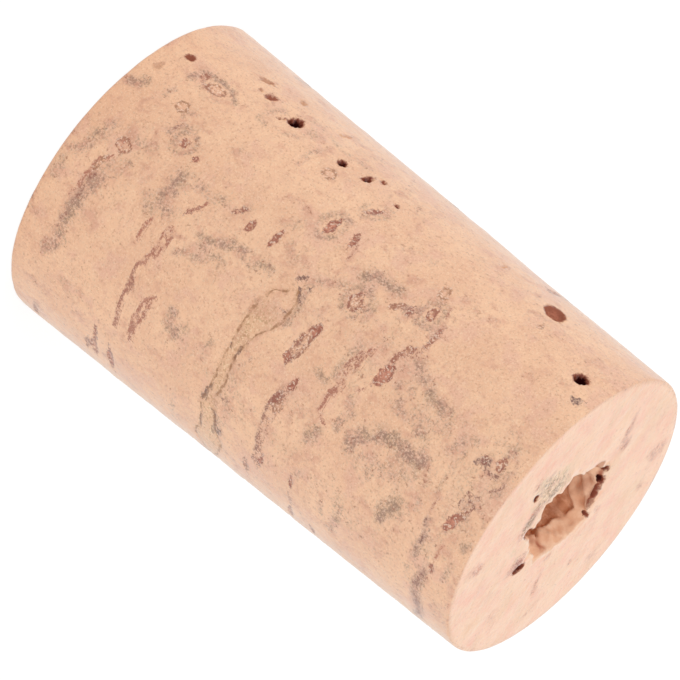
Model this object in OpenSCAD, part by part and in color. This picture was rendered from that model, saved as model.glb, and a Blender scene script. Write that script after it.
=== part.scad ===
// Head cork of a transverse flute.
//
// One piece of natural cork, turned to a slow taper and drilled lengthwise for
// the stopper screw. It stands on its wide end with the origin at the centre of
// that face and +Z towards the narrow end. Angles run round the axis: 0 faces
// -Y and +90 faces +X. Lengths are in millimetres.

/* [Body] */
// Diameter across the wide end
wide_d = 18; // [14:0.1:24]
// Diameter across the narrow end
narrow_d = 16.8; // [13:0.1:23]
// Length from end to end
body_l = 30; // [15:0.5:45]
// Rounding that sanding leaves on the two outer rims
rim_r = 0.1; // [0.1:0.05:0.6]

/* [Bore] */
// Diameter of the drilled hole for the stopper screw
bore_d = 4.8; // [3:0.1:7]

/* [Torn mouth] */
// Depth of the deepest tear that the drill left at the narrow end
tear_depth = 1.6; // [0.6:0.1:3]
// Distance that the widest tear reaches past the wall of the bore
tear_reach = 1.1; // [0.4:0.1:2]

/* [Pores] */
// Way the bark faced as it grew, which its breathing pores run along
grain_angle = -50; // [-180:5:180]
// Depth of a round pore that is met end on
pore_depth = 1.2; // [0.4:0.1:2.5]
// Depth of a slit, where the side cuts a pore lengthwise, per unit of its width
slit_depth = 0.9; // [0.5:0.05:1.1]
// Scale of every pore, 1 for medium-grade cork
pore_size = 1; // [0.6:0.05:1.4]

/* [Hidden] */

taper = atan((wide_d - narrow_d) / (2 * body_l));
bore_r = bore_d / 2;
// How far a through cut runs past each end
cut_over = 1;
// Lean of a torn flake's foot, in towards the bore
tear_lean = 15;
// A pit keeps this share of its width and depth where its walls draw in
waist = 0.7;
// Width of a pit's floor as a share of its mouth
floor_share = 0.3;
// Facets of the large and of the small circles
round_fn = 96;
pore_fn = 32;

// Pores that meet the side end on, as round pits: angle from the grain's way,
// height as a share of the length, width of the mouth.
END_ON_PORES = [
    [7, 0.947, 0.80], [-12, 0.810, 1.25], [-1, 0.257, 1.00],
    [0, 0.370, 0.60], [-2, 0.420, 0.50], [-6, 0.440, 0.40],
    [-1, 0.493, 0.30], [-3, 0.190, 0.40], [7, 0.047, 0.50],
    [-16, 0.320, 0.35], [22, 0.457, 0.45],
    [168, 0.150, 0.60], [181, 0.360, 0.90], [190, 0.520, 0.50],
    [174, 0.700, 0.40], [186, 0.860, 0.70]
];

// Pores that the side cuts lengthwise, as slits round the girth: angle from the
// grain's way, height as a share of the length, length and width of the slit.
SLIT_PORES = [
    [50.5, 0.703, 1.2, 0.40], [58, 0.560, 2.1, 0.55], [75, 0.947, 1.4, 0.40],
    [39, 0.403, 0.9, 0.30], [41.5, 0.353, 0.8, 0.30], [117, 0.233, 2.0, 0.35],
    [114, 0.197, 2.2, 0.45], [112, 0.643, 1.8, 0.35], [121, 0.543, 2.0, 0.35],
    [88, 0.570, 2.4, 0.40], [22, 0.503, 0.8, 0.25],
    [-108, 0.240, 2.2, 0.45], [-96, 0.480, 1.6, 0.35],
    [-82, 0.640, 2.4, 0.40], [-100, 0.880, 1.4, 0.35],
    [-70, 0.130, 1.8, 0.40]
];

// Pits on the narrow end face: angle, distance out from the bore's wall, width.
FACE_PITS = [
    [84, 1.15, 0.60], [2, 2.40, 0.30], [-97, 0.80, 0.40]
];

// Flakes torn from the mouth of the bore: angle, share of tear_reach, width,
// share of tear_depth.
TEARS = [
    [-90, 1.00, 0.9, 0.35], [-108, 0.60, 1.4, 1.00], [-128, 0.35, 1.0, 0.60],
    [-164, 0.50, 0.5, 0.80], [178, 0.25, 1.2, 0.55], [150, 0.15, 0.9, 0.40],
    [105, 0.45, 0.8, 0.75], [80, 0.15, 1.0, 0.50], [57, 0.25, 0.9, 0.40],
    [39, 0.85, 0.8, 0.80], [18, 0.40, 0.7, 0.30], [0, 0.65, 0.9, 0.45],
    [-14, 0.50, 0.8, 0.35], [-34, 0.75, 0.8, 0.50], [-60, 0.50, 1.3, 0.65]
];

// Radius of the tapered side at a height
function side_r(z) = (wide_d - (wide_d - narrow_d) * z / body_l) / 2;

// Centre of the small circle that rounds a rim, rim_r inside both its faces
function rim_centre(z) = [side_r(z) - rim_r / cos(taper), z];

// Point where that circle runs into the tapered side
function rim_tangent(z) = rim_centre(z) + rim_r * [cos(taper), sin(taper)];

// Half section of the blank, square-ended and rounded at both rims
module blank_section() {
    low = rim_centre(rim_r);
    high = rim_centre(body_l - rim_r);
    polygon([
        [0, 0], [low[0], 0], rim_tangent(rim_r),
        rim_tangent(body_l - rim_r), [high[0], body_l], [0, body_l]
    ]);
    translate(low) circle(r = rim_r, $fn = round_fn);
    translate(high) circle(r = rim_r, $fn = round_fn);
}

// Round pit that opens at the origin and runs down -Z: nearly straight walls
// above, drawn in to a small floor below
module pit(width, depth) {
    rotate_extrude($fn = pore_fn)
        polygon([
            [0, depth], [width / 2, depth], [width / 2, 0],
            [waist * width / 2, -waist * depth],
            [floor_share * width / 2, -depth], [0, -depth]
        ]);
}

// Boat-shaped slit that opens at the origin, long in X, narrow in Z and deep
// in +Y. It is the bite of a wheel with a sharp rim, so its ends run out thin;
// girth_r is the radius of the side that the slit is cut in.
module slit(length, width, depth, girth_r) {
    rise = depth - length * length / (8 * girth_r);
    wheel_r = (length * length / 4 + rise * rise) / (2 * rise);
    translate([0, depth - wheel_r, 0])
        rotate_extrude($fn = round_fn)
            polygon([
                [0, -width / 2], [wheel_r - depth, -width / 2], [wheel_r, 0],
                [wheel_r - depth, width / 2], [0, width / 2]
            ]);
}

// Puts its children on the tapered side, with -Y pointing straight out
module on_side(angle, share) {
    z = share * body_l;
    rotate([0, 0, angle])
        translate([0, -side_r(z), z])
            children();
}

// Puts its children on the narrow end face, a distance out from the axis
module on_face(angle, distance) {
    rotate([0, 0, angle])
        translate([0, -distance, body_l])
            children();
}

// Round pore whose channel runs into the cork along the grain, from the side
// that faces the grain's way or from the one behind it
module end_on_pore(offset, share, width) {
    facing = cos(offset) > 0 ? 0 : 180;
    on_side(grain_angle + offset, share)
        rotate([0, 0, facing - offset])
            rotate([90, 0, 0])
                pit(width * pore_size, pore_depth);
}

// Shallow slit that lies round the girth
module slit_pore(offset, share, length, width) {
    wide = width * pore_size;
    on_side(grain_angle + offset, share)
        slit(length * pore_size, wide, slit_depth * wide, side_r(share * body_l));
}

// Small pit in the narrow face, as deep as it is wide
module face_pit(angle, gap, width) {
    on_face(angle, bore_r + gap)
        pit(width * pore_size, width * pore_size);
}

// Flake torn from the edge of the bore, with its foot leaning back into the bore
module tear(angle, reach_share, width, depth_share) {
    on_face(angle, bore_r + tear_reach * reach_share - width / 2)
        rotate([tear_lean, 0, 0])
            pit(width, tear_depth * depth_share);
}

module head_cork() {
    color([0.93, 0.73, 0.58])
        difference() {
            rotate_extrude($fn = round_fn) blank_section();
            translate([0, 0, -cut_over])
                cylinder(h = body_l + 2 * cut_over, r = bore_r, $fn = round_fn);
            for (p = END_ON_PORES) end_on_pore(p[0], p[1], p[2]);
            for (p = SLIT_PORES) slit_pore(p[0], p[1], p[2], p[3]);
            for (p = FACE_PITS) face_pit(p[0], p[1], p[2]);
            for (t = TEARS) tear(t[0], t[1], t[2], t[3]);
        }
}

head_cork();
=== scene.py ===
# %% [markdown]
# # A flute's head cork
#
# The crown end of a transverse flute is closed by a short cork plug. It is cut
# from one block of bark, turned to a slow taper, sanded smooth and drilled
# lengthwise for the stopper screw.
#
# Cork is a material with a direction. Breathing pores, called lenticels, run
# through the bark from outside to inside. Where the side of the plug faces that
# way they show as round dark holes, and a quarter turn away the same pores are
# cut lengthwise and show as thin brown streaks. This lesson builds the plug as
# one closed mesh, and then lays its marks by that rule.

import bpy
import numpy as np
from mathutils import Matrix, Vector


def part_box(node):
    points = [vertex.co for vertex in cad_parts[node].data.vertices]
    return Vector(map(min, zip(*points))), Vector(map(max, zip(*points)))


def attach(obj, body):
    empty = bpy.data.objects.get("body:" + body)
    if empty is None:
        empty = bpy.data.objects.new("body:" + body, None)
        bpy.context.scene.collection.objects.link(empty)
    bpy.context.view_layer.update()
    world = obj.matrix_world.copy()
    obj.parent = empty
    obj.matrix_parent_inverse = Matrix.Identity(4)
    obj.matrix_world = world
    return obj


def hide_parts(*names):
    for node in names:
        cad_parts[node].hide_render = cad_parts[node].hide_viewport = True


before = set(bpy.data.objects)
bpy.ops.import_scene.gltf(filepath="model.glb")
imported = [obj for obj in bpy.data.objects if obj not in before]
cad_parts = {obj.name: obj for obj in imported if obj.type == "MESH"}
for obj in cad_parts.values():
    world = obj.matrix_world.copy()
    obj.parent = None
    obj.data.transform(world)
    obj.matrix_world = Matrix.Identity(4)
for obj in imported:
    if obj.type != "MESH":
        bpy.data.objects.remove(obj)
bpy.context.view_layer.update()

# %% [markdown]
# ## Sizes
#
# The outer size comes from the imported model, so that the plug and its looks
# can't drift apart. The rest are real sizes of the plug. They are written in
# millimetres, because that is how a maker thinks of them, and turned into
# metres only when the mesh is written.

# %% The plug's sizes
MM = 0.001
low_corner, high_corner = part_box("head_cork")
WIDE_R = (high_corner[0] - low_corner[0]) / 2 / MM
LENGTH = (high_corner[2] - low_corner[2]) / MM
NARROW_R = 8.4
BORE_R = 2.4
RIM_R = 0.1
# The way the bark faced, as an angle round the plug: 0 faces -Y and 90 faces +X
GRAIN_ANGLE = -50.0
grain = np.radians(GRAIN_ANGLE)
print(f"Wide end {2 * WIDE_R:.2f} mm, length {LENGTH:.2f} mm")


def side_radius(height):
    """Radius of the tapered side at a height."""
    return WIDE_R + (NARROW_R - WIDE_R) * height / LENGTH


# %% [markdown]
# ## Random lumps
#
# Nothing on a natural cork is quite smooth or straight. Blender's displace
# modifier could make it uneven, but the marks need the same unevenness as the
# shape. So one helper gives soft random lumps to both: it fills a lattice with
# random numbers and blends between its corners. The numbers are seeded, so each
# run gives the same cork.

# %% A helper for soft random lumps
LATTICE = 24


def lumps(points, size, seed):
    """Soft random values from -1 to 1 at points, in lumps of about that size."""
    lattice = np.random.default_rng(seed).uniform(-1, 1, (LATTICE,) * 3)
    cell = points / size
    corner = np.floor(cell).astype(int)
    blend = cell - corner
    blend = blend * blend * (3 - 2 * blend)
    total = np.zeros(points.shape[:-1])
    for step in np.ndindex(2, 2, 2):
        step = np.array(step)
        share = np.prod(np.where(step == 1, blend, 1 - blend), axis=-1)
        where = (corner + step) % LATTICE
        total += share * lattice[where[..., 0], where[..., 1], where[..., 2]]
    return total


print(f"The lumps repeat after {LATTICE} times their own size")

# %% Helpers for steps and for places round the plug


def smooth(value, start, end):
    """0 below start, 1 above end, and a smooth step between them."""
    share = np.clip((value - start) / (end - start), 0, 1)
    return share * share * (3 - 2 * share)


def degrees_from(there, angle):
    """Degrees from an angle to each of the others, the short way round."""
    return (there - angle + 180) % 360 - 180


def spots(turned, out, up):
    """Points at angles round the plug, that far out from its axis and that high."""
    parts = np.broadcast_arrays(out * np.sin(turned), -out * np.cos(turned), up)
    return np.stack(parts, axis=-1)


def around(known, angle):
    """Value at an angle, from a list of (angle, value) that closes on itself."""
    known = np.array(sorted(known))
    return np.interp(angle, known[:, 0], known[:, 1], period=360)


print("From 350 degrees to 10 is", degrees_from(10, 350), "degrees")

# %% [markdown]
# ## The torn mouth
#
# The drill came out at the narrow end and tore the soft cork, so the hole is
# round inside but its mouth is ragged. Sculpting could give such an edge, but
# not twice the same. Here the ragged edge is a radius that changes with the
# angle. A short list of points gives its big bites, and lumps give the crumbs
# between them. A second list says how deep the tear runs at each angle, and a
# third how far in its foot stands.

# %% The ragged edge of the bore
# Angle round the plug, distance of the torn edge from the axis
MOUTH_EDGE = [
    (-164, 2.85), (-156, 2.5), (-147, 2.4), (-126, 2.7), (-107, 2.75), (-97, 3.25),
    (-81, 3), (-68, 2.9), (-56, 2.9), (-45, 2.95), (-37, 3.2), (-28, 3), (-20, 2.68),
    (-13, 3), (-5, 2.85), (2, 3.15), (10, 2.9), (20, 2.7), (28, 2.65), (32, 3.05),
    (37, 3.4), (44, 3), (50, 2.5), (65, 2.55), (78, 2.5), (93, 2.5), (104, 2.9), (113, 2.4),
    (143, 2.25), (162, 2.4), (180, 2.6),
]
# Angle round the plug, depth at which the torn slope ends
TEAR_DEPTH = [
    (-163, 0.6), (-145, 1.6), (-128, 2.2), (-100, 2.4), (-70, 0.8), (-20, 0.5), (20, 0.6),
    (40, 1.3), (75, 0.9), (110, 1.1), (147, 1.15), (165, 1), (180, 0.8),
]
# Angle round the plug, distance of the slope's foot from the axis
TEAR_FOOT = [
    (-164, 2.25), (-145, 2.35), (-115, 2.4), (-60, 2.4), (0, 2.4), (60, 2.35), (85, 2.15),
    (110, 1.85), (130, 1.75), (150, 1.85), (168, 2.05), (180, 2.2),
]
# Ridges of fibre that stand out from the slope: angle, half-width, height
FIBRES = [
    (-157, 6, 0.14), (-128, 9, 0.08), (-175, 9, -0.1), (163, 6, 0.12), (146, 6, -0.08),
    (128, 8, 0.1), (103, 9, -0.16), (86, 5, 0.12),
]
# Degrees that the fibres at the sides lean forward for each millimetre down
FIBRE_LEAN = 34
# Depth over which the edge's crumbs fade out down the slope
CRUMB_FADE = 0.16
# Distance from the axis at which the lumps along the edge are read
EDGE_R = 2.6
print(f"{len(MOUTH_EDGE)} points round the edge and {len(FIBRES)} ridges below it")

# %% [markdown]
# ## The grid
#
# The plug with its hole is a ring in the mathematical sense. A grid of rows and
# columns can wrap it with no seam, no cap and no pole: up the side, across the
# narrow face, down the bore and back under the wide face. Blender's Screw
# modifier would give the same form, but with rows laid one by one they can lie
# close together where the detail is, at the mouth and along the pores.
#
# The columns stand closest where the round pores lie, and widest at the back.

# %% Columns round the plug, and the torn edge at each
# Degrees between columns: by the round pores, on the rest of the front, behind
FINE_STEP = 0.5
FRONT_STEP = 0.95
BACK_STEP = 2.0
angles = np.concatenate([
    np.arange(-95, -72, FRONT_STEP),
    np.arange(-72, -38, FINE_STEP),
    np.arange(-38, 95, FRONT_STEP),
    np.arange(95, 265, BACK_STEP),
])
turn = np.radians(angles)
columns = len(angles)

edge_point = spots(turn, EDGE_R, 0.0)
torn_radius = around(MOUTH_EDGE, angles)
crumbs = 0.13 * lumps(edge_point, 0.40, 11) + 0.08 * lumps(edge_point, 0.16, 12)
mouth_radius = torn_radius + crumbs
tear_end = around(TEAR_DEPTH, angles)
ragged_end = tear_end * (1 + 0.25 * lumps(edge_point, 0.5, 13))
print(f"The torn edge reaches {mouth_radius.min():.2f} to {mouth_radius.max():.2f} mm")

# %% [markdown]
# Each row is one ring round the plug, with a radius and a height at every
# column and the name of the zone that it belongs to. The rows follow the
# section of the plug from the edge of the bore at the wide end, out and up the
# side, in across the narrow face, and down the bore again.

# %% A helper for rows
SIDE_ROWS = 185
FACE_ROWS = 40
MOUTH_ROWS = 28
BORE_ROWS = 20
UNDER_ROWS = 14
RIM_ROWS = 3
MOUTH_DEPTH = 3.0
rows = []


def add_row(radius, height, zone):
    """Adds one ring of the grid."""
    out = np.broadcast_to(radius, turn.shape).astype(float)
    level = np.broadcast_to(height, turn.shape).astype(float)
    rows.append((out, level, zone))


print(f"The side's rows are {LENGTH / SIDE_ROWS:.2f} mm apart")

# %% Rows along the section
for share in np.linspace(0, 1, UNDER_ROWS, endpoint=False):
    add_row(BORE_R + (WIDE_R - RIM_R - BORE_R) * share, 0, "under")
for bend in np.linspace(0, np.pi / 2, RIM_ROWS, endpoint=False):
    out = WIDE_R - RIM_R + RIM_R * np.sin(bend)
    add_row(out, RIM_R * (1 - np.cos(bend)), "low rim")
for height in np.linspace(RIM_R, LENGTH - RIM_R, SIDE_ROWS):
    add_row(side_radius(height), height, "side")
for bend in np.linspace(np.pi / 2, 0, RIM_ROWS + 1)[1:]:
    out = NARROW_R - RIM_R + RIM_R * np.sin(bend)
    add_row(out, LENGTH - RIM_R + RIM_R * np.cos(bend), "high rim")
for share in np.linspace(1, 0, FACE_ROWS + 1)[1:]:
    # Rows on the face crowd together towards the mouth
    share = 0.4 * share + 0.6 * share ** 2
    out = mouth_radius + (NARROW_R - RIM_R - mouth_radius) * share
    add_row(out, LENGTH, "face")
for depth in np.linspace(0, MOUTH_DEPTH, MOUTH_ROWS + 1)[1:]:
    add_row(mouth_radius, LENGTH - depth, "mouth")
for height in np.linspace(LENGTH - MOUTH_DEPTH, 0, BORE_ROWS + 1)[1:-1]:
    add_row(BORE_R, height, "bore")

radius = np.array([row[0] for row in rows])
height = np.array([row[1] for row in rows])
zone = np.array([row[2] for row in rows])
print(f"{len(rows)} rows of {columns} points, {2 * len(rows) * columns} triangles")

# %% Which rows belong where
on_side = zone == "side"
on_face = zone == "face"
on_under = zone == "under"
in_mouth = zone == "mouth"
in_bore = zone == "bore"
side_zone = (on_side | (zone == "low rim") | (zone == "high rim"))[:, None]
both_ends = (on_face | on_under)[:, None]
in_hole = (in_mouth | in_bore)[:, None]
depth = LENGTH - height
print(f"{on_side.sum()} rows on the side, {on_face.sum()} on the narrow face")

# %% [markdown]
# ## The mouth's inner wall
#
# Below its edge the tear slopes in to a ragged foot, which hangs a little over
# the clean drilled wall. The slope is made of torn fibres, so it carries ridges
# that run down the hole. At the sides they lean forward as they go down,
# because the drill dragged them round.

# %% Shape the mouth's inner wall
foot = around(TEAR_FOOT, angles)
fall = depth / tear_end
lean_angle = angles + FIBRE_LEAN * depth * np.clip(3 * np.sin(turn), -1, 1)
ridges = np.zeros(height.shape)
for angle, half_width, rise in FIBRES:
    away = degrees_from(lean_angle, angle) / half_width
    ridges = ridges - rise * np.exp(-away ** 2)
wall_point = spots(turn, BORE_R, depth)
# Lumps that are long down the hole and follow the lean of the fibres
fibre_point = spots(np.radians(lean_angle), BORE_R, 0.3 * depth)
ridges = ridges + 0.09 * lumps(fibre_point, 0.7, 21) + 0.04 * lumps(fibre_point, 0.3, 22)
ridges = ridges + 0.14 * lumps(wall_point, 0.50, 27) + 0.08 * lumps(wall_point, 0.24, 28)
# Tone along the leaning fibres, which paints their shading on the torn slope
fibre_shading_tone = 0.5 + 0.5 * lumps(fibre_point, 0.55, 25) + 0.3 * lumps(wall_point, 0.30, 26)
slope = torn_radius + (foot - torn_radius) * np.clip(fall, 0, 1) ** 0.85
slope = slope + ridges * smooth(fall, 0.0, 0.3) + crumbs * np.exp(-depth / CRUMB_FADE)
drilled = BORE_R + 0.10 * lumps(wall_point, 0.45, 24)
under_foot = smooth(depth - ragged_end, 0.0, 0.20)
inner = slope + (np.maximum(drilled, foot) - slope) * under_foot
radius[in_mouth] = inner[in_mouth]
chatter = 0.02 * lumps(wall_point * [1, 1, 4], 0.6, 23)
radius[in_bore] = BORE_R + chatter[in_bore]
print(f"The slope comes in to {radius[in_mouth].min():.2f} mm from the axis")

# %% [markdown]
# ## Where the marks lie
#
# Each mark on the cork is one row in a list: its angle and height on the side,
# its length round the girth, its width, and its tilt. Painted on an image, its
# shape and its colour would have to be made twice. Instead a mark becomes a
# field that says how many millimetres inside its edge each point lies. The mesh
# uses the field to sink the mark and the finish to colour it, so the two agree.

# %% Fields over the grid
points = spots(turn, radius, height)
outward = spots(turn, 1.0, 0.0)
girth = np.radians(1.0) * side_radius(height)
ripple_along = 0.10 * lumps(points, 0.8, 31) + 0.05 * lumps(points, 0.35, 32)
ripple_up = 0.10 * lumps(points, 0.8, 33) + 0.05 * lumps(points, 0.35, 34)
# A field's value where it is too far from its mark to matter
FAR = -2.0


def side_offset(angle, level):
    """Millimetres round the girth and up the side from a place on the side."""
    return degrees_from(angles, angle) * girth + ripple_along, height - level + ripple_up


def face_offset(across, back):
    """Millimetres from a place on the narrow face, to the right and backwards."""
    return (points[..., 0] - across + ripple_along,
            points[..., 1] - back + ripple_up)


def reach(offset, length, width, tilt, sharp=2.0):
    """Distance from an oval's centre, as a share of the way to its edge."""
    along, up = offset
    lean = np.radians(tilt)
    long_way = np.abs(along * np.cos(lean) + up * np.sin(lean)) / (length / 2)
    short_way = np.abs(up * np.cos(lean) - along * np.sin(lean)) / (width / 2)
    return (long_way ** sharp + short_way ** sharp) ** (1 / sharp)


def inside(offset, length, width, tilt, sharp=2.0):
    """Millimetres inside an oval's edge, negative outside it."""
    field = (1 - reach(offset, length, width, tilt, sharp)) * min(length, width) / 2
    return np.maximum(field, FAR)


print(f"Edges of marks waver by up to {np.abs(ripple_along).max():.2f} mm")

# %% [markdown]
# ## Pores that face outward
#
# These are the round holes in a band where the side faces the way the bark did,
# and in a second band right behind it. Their channels run into the cork along
# the grain. Some are still stopped by a plug of brown crumb, which shows as a
# lighter middle.

# %% The list of round pores
# Angle, height, length, width, tilt, depth, share that crumb fills, darkness
ROUND_PORES = [
    (-42.8, 28.35, 1, 0.72, -50, 0.55, 0, 1), (-62, 24.3, 1.5, 1.25, 20, 0.38, 0.6, 0.64),
    (-51.3, 7.75, 0.9, 0.8, -35, 0.7, 0, 1), (-47.9, 7.1, 0.6, 0.16, -40, 0.12, 0, 0.6),
    (-50, 11.13, 0.56, 0.52, 0, 0.45, 0, 1), (-52.4, 12.6, 0.8, 0.42, -12, 0.35, 0, 0.9),
    (-56.4, 13.2, 0.45, 0.3, 10, 0.2, 0, 0.7), (-51, 14.75, 0.3, 0.24, 0, 0.3, 0, 0.95),
    (-53, 5.7, 0.65, 0.38, -50, 0.12, 0.3, 0.62),
    (-52.5, 5.04, 0.26, 0.2, 0, 0.06, 0.3, 0.4),
    (-42.8, 1.46, 0.58, 0.5, -30, 0.12, 0.5, 0.66),
    (-32, 0.83, 0.7, 0.38, -12, 0.08, 0.6, 0.3),
    (-64.5, 9.6, 0.7, 0.3, -20, 0.08, 0.5, 0.25), (-63.5, 6.7, 0.5, 0.35, 0, 0.1, 0.6, 0.3),
    (-58.5, 4.6, 0.75, 0.45, -50, 0.08, 0.5, 0.4),
    (-66, 20.6, 0.8, 0.22, -15, 0.08, 0.3, 0.25), (118, 4.5, 0.6, 0.65, 20, 0.4, 0, 0.9),
    (131, 10.8, 0.95, 0.9, -20, 0.6, 0.3, 0.9), (140, 15.6, 0.55, 0.5, 0, 0.35, 0, 0.9),
    (124, 21, 0.45, 0.4, 0, 0.3, 0, 0.9), (136, 25.8, 0.8, 0.7, 30, 0.45, 0.2, 0.9),
    (128, 18.3, 0.3, 0.25, 0, 0.2, 0, 0.8), (121, 13.2, 0.35, 0.3, 0, 0.2, 0, 0.8),
    (143, 7.4, 0.4, 0.3, 0, 0.2, 0, 0.75),
]
# The same on the narrow face: across, back, length, width, tilt and the rest
FACE_PORES = [
    (3.45, -0.4, 0.85, 0.5, -35, 0.5, 0, 1), (0.22, -4.9, 0.36, 0.56, -25, 0.35, 0, 1),
    (-3.15, 0.4, 0.34, 0.6, 15, 0.5, 0, 0.85), (-2.45, 0.95, 0.76, 1, 15, 0.5, 0, 0.9),
    (-3, -0.55, 0.8, 0.95, 0, 0.25, 0.3, 0.35), (-2, 1.7, 1.05, 0.34, 35, 0.2, 0, 0.72),
    (-1.35, 2.05, 0.7, 0.22, 15, 0.2, 0, 0.5), (-0.78, 2.6, 0.24, 0.45, -8, 0.3, 0, 0.72),
    (1.75, -2.55, 0.6, 0.7, -25, 0.55, 0, 0.55),
]
print(f"{len(ROUND_PORES)} pores on the side and {len(FACE_PORES)} on the face")

# %% [markdown]
# A pore could be cut with a Boolean, but each cut would leave long thin faces
# round its edge. Here the grid's own points are pushed in instead. On the side
# they move along the grain and not straight in, so a pore that is met off its
# axis slants as the real one does.

# %% Sink the round pores
GRAIN_WAY = np.array([np.sin(grain), -np.cos(grain), 0.0])
# Share of the way out at which a pore's floor turns up into its wall
WALL_START = 0.25
# Share of the way out that the plug of crumb reaches
CRUMB_SPREAD = 0.65
# Depth below the face to which a pore's own colour runs down the mouth
PIT_ZONE = 0.32

pore_field = np.full(height.shape, FAR)
pore_dark = np.zeros(height.shape)
push = np.zeros(points.shape)


def lay_pore(offset, size, way, where):
    """Sinks one pore along a direction and notes its field and its darkness."""
    length, width, tilt, depth, crumb, dark = size
    out = reach(offset, length, width, tilt)
    field = np.where(where, (1 - out) * min(length, width) / 2, FAR)
    sunk = depth * (1 - smooth(out, WALL_START, 1.05))
    sunk = sunk * (1 - crumb * (1 - smooth(out, 0, CRUMB_SPREAD)))
    push[:] += way * (sunk * where)[..., None]
    nearer = field > pore_field
    pore_field[nearer] = field[nearer]
    pore_dark[nearer] = dark


face_zone = (on_face | in_mouth)[:, None] & (depth < PIT_ZONE)
for angle, level, *size in ROUND_PORES:
    facing = np.cos(np.radians(angle - GRAIN_ANGLE))
    lay_pore(side_offset(angle, level), size, -np.sign(facing) * GRAIN_WAY, side_zone)
for across, back, *size in FACE_PORES:
    lay_pore(face_offset(across, back), size, np.array([0, 0, -1.0]), face_zone)
pore_field = np.maximum(pore_field, FAR)
print(f"The deepest pore is pushed in {np.linalg.norm(push, axis=-1).max():.2f} mm")

# %% [markdown]
# Where the drill tore through pores at the mouth, their red-brown crumb is
# smeared over the slope. Each blot is soft, with an angle and a depth, and those
# lower down the walls also paint the shade in the mouth. The blots stop at the
# edge, where a thin pale lip of clean torn cork shows.

# %% Red crumb and painted shade on the torn slope
# Angle, depth, half-width in degrees, half-depth in millimetres, strength
STAINS_AND_SHADE = [
    (-105, 0.15, 10, 0.26, 1), (-136, 0.2, 22, 0.32, 0.8), (-162, 0.1, 4, 0.16, 0.6),
    (36, 0.3, 12, 0.7, 0.95), (52, 0.5, 10, 0.45, 0.75), (118, 0.5, 9, 0.45, 0.9),
    (108, 0.9, 8, 0.4, 0.7), (-85, 0.2, 9, 0.4, 0.45), (165, 0.8, 10, 0.25, 0.3),
    (20, 0.3, 60, 0.22, 0.4), (-127, 0.75, 24, 0.6, 0.56), (122, 0.3, 14, 0.4, 0.62),
    (178, 1.4, 16, 0.5, 0.5),
]
stain_and_shade_field = np.zeros(height.shape)
for angle, down, half_width, half_depth, strength in STAINS_AND_SHADE:
    across = degrees_from(angles, angle) / half_width
    blot = strength * np.exp(-across ** 2 - ((depth - down) / half_depth) ** 2)
    stain_and_shade_field = np.maximum(stain_and_shade_field, blot * (in_mouth | on_face)[:, None])
edge_gap = (radius - mouth_radius) * on_face[:, None]
stain_and_shade_field = stain_and_shade_field * (1 - smooth(edge_gap, 0.0, 0.12))
lip_field = (1 - smooth(edge_gap, 0.04, 0.25)) * on_face[:, None]
print(f"{len(STAINS_AND_SHADE)} stains on the torn slope")

# %% [markdown]
# ## Pores that are cut lengthwise
#
# A quarter turn from the grain the same pores are cut along their length. They
# show as lenses and streaks of red-brown crumb that lie round the girth. Some
# are filled and some are only an outline, and many have a grey halo of
# crushed cells. The list runs from the narrow end down.

# %% Lenses towards the narrow end
# Angle, height, length, width, tilt, fill, greyness, halo
LENSES = [
    (-0.8, 28.8, 0.85, 0.5, 10, 0.5, 0, 0.4), (22.3, 28.6, 0.8, 0.34, -20, 0.4, 0.5, 0.3),
    (45.5, 28.4, 0.45, 0.34, 0, 0.5, 0.3, 0.1), (25.5, 28.35, 1.2, 0.52, -18, 1, 0, 0.3),
    (2.2, 27.9, 0.55, 0.4, 0, 0.8, 0.9, 0.3), (-49.5, 24.7, 0.5, 0.26, 10, 0.2, 0.5, 0.1),
    (-78, 22.8, 1.2, 0.44, -5, 0.4, 0.3, 0.2), (-19.5, 21.8, 1.2, 0.22, 8, 0.6, 0.3, 0.3),
    (-10.5, 21.3, 0.9, 0.3, -35, 0.5, 0.2, 0.3), (1.2, 21.15, 1.4, 0.72, -8, 0.9, 0.1, 0.2),
    (-6, 21.1, 0.7, 0.34, -10, 0.4, 0.2, 0.3), (-25, 20.8, 1, 0.46, 5, 0.55, 0.1, 0.9),
    (77.5, 20.8, 1, 0.3, 0, 0.5, 0.3, 0.2), (-34, 20.4, 0.85, 0.52, 0, 0.1, 0.1, 0.3),
    (-20.8, 20, 0.6, 0.34, 10, 0.6, 0.5, 0.4),
]
print(f"{len(LENSES)} lenses towards the narrow end")

# %% Lenses round the middle
LENSES += [
    (57.5, 19.4, 0.9, 0.2, 6, 0.8, 0.1, 0.1), (-19.5, 19.25, 0.95, 0.4, -25, 0.3, 0.1, 0.3),
    (76, 19.25, 1.4, 0.34, -8, 0.6, 0.2, 0.1), (-12, 17.55, 1.15, 0.75, 10, 0.45, 0.5, 0.8),
    (23.2, 17.45, 0.8, 0.3, -20, 1, 0, 0.1), (33, 17.4, 0.9, 0.5, -6, 0.25, 0.3, 0.1),
    (58, 17.33, 0.9, 0.26, -8, 0.9, 0.1, 0.1), (30.5, 17.02, 1.1, 0.34, -12, 0.9, 0.5, 0.2),
    (5.2, 16.93, 1, 0.44, -16, 1.2, 0, 0), (10.4, 16.73, 2.3, 0.66, -8, 0.42, 0.8, 0.1),
    (16.4, 16.55, 0.66, 0.44, -14, 0.95, 0.1, 0.1), (67, 16.35, 1.2, 0.4, 6, 0.3, 0.5, 0.2),
    (-28, 15.05, 1, 0.34, 5, 0.6, 0, 0.3), (-42, 14.5, 0.9, 0.34, -30, 0.6, 0.3, 0.6),
    (-27, 13.7, 1.05, 0.5, -8, 1.05, 0, 0.8), (-11, 12.15, 1.1, 0.36, -6, 0.6, 0, 0.1),
    (-42.4, 11.3, 0.95, 0.85, 0, 0.05, 0, 0.2), (-8.7, 10.63, 0.78, 0.44, -5, 0.6, 0, 0.1),
]
print(f"{len(LENSES)} lenses down to the middle")

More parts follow.
